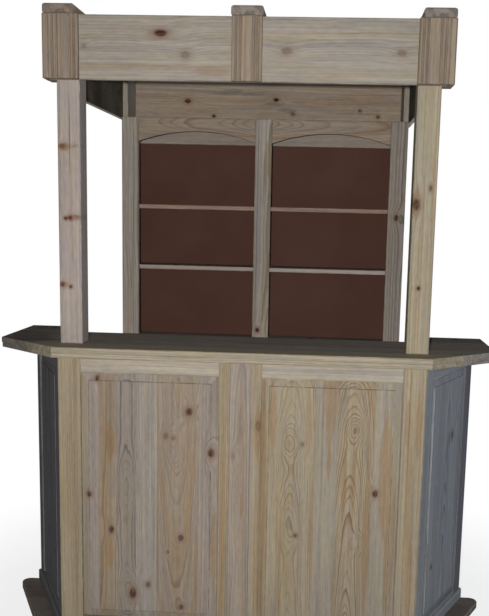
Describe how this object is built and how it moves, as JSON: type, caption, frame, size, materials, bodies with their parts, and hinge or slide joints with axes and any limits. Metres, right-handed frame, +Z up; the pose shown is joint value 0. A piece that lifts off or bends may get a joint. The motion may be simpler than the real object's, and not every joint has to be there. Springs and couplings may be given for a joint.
{
  "type": "bar counter with shelves",
  "caption": "Knotty pine home bar: panelled counter with splayed wings and thick top, canopy on square posts, and a back shelf unit with arched bays.",
  "frame": {"origin": "on the floor, at the centre of the bounding box of the whole bar", "axes": "+Z up; -Y towards the customers' side, +Y towards the back shelf unit; X along the counter, with the plane of symmetry at X = 0"},
  "size_m": [1.8646, 1.086, 2.229],
  "materials": {
    "frame_pine": "planed, unfinished",
    "panel_pine": "planed, unfinished",
    "top_pine": "planed, unfinished",
    "canopy_pine": "planed, unfinished",
    "unit_pine": "planed, unfinished",
    "hardboard": "smooth, dull"
  },
  "bodies": {
    "root": {"counter_base": "frame_pine", "skirting_front": "frame_pine", "skirting_left": "frame_pine", "skirting_right": "frame_pine", "front_stile_left": "frame_pine", "front_stile_centre": "frame_pine", "front_stile_right": "frame_pine", "front_top_rail_left": "frame_pine", "front_top_rail_right": "frame_pine", "front_bottom_rail_left": "frame_pine", "front_bottom_rail_right": "frame_pine", "front_panel_left": "panel_pine", "front_panel_right": "panel_pine", "wing_left_front_stile": "frame_pine", "wing_left_rear_stile": "frame_pine", "wing_left_top_rail": "frame_pine", "wing_left_bottom_rail": "frame_pine", "wing_left_panel": "panel_pine", "wing_right_front_stile": "frame_pine", "wing_right_rear_stile": "frame_pine", "wing_right_top_rail": "frame_pine", "wing_right_bottom_rail": "frame_pine", "wing_right_panel": "panel_pine", "counter_top_front": "top_pine", "counter_top_arm_left": "top_pine", "counter_top_arm_right": "top_pine", "counter_shelf": "unit_pine", "post_left": "canopy_pine", "post_right": "canopy_pine", "canopy_fascia": "canopy_pine", "canopy_rear_fascia": "canopy_pine", "canopy_side_left": "canopy_pine", "canopy_side_right": "canopy_pine", "canopy_return_left": "canopy_pine", "canopy_return_right": "canopy_pine", "pilaster_left": "canopy_pine", "pilaster_centre": "canopy_pine", "pilaster_right": "canopy_pine", "roof_bearer_left": "canopy_pine", "roof_bearer_centre": "canopy_pine", "roof_bearer_right": "canopy_pine", "unit_side_left": "unit_pine", "unit_side_right": "unit_pine", "unit_stile_left": "unit_pine", "unit_stile_centre": "unit_pine", "unit_stile_right": "unit_pine", "unit_arch_left": "unit_pine", "unit_arch_right": "unit_pine", "unit_top": "unit_pine", "unit_rear_rail": "unit_pine", "unit_divider": "unit_pine", "unit_shelf_upper_left": "unit_pine", "unit_shelf_upper_right": "unit_pine", "unit_shelf_lower_left": "unit_pine", "unit_shelf_lower_right": "unit_pine", "unit_worktop": "unit_pine", "unit_low_shelf": "unit_pine", "unit_bottom": "unit_pine", "unit_plinth": "unit_pine", "unit_back": "hardboard"}
  },
  "joints": []
}
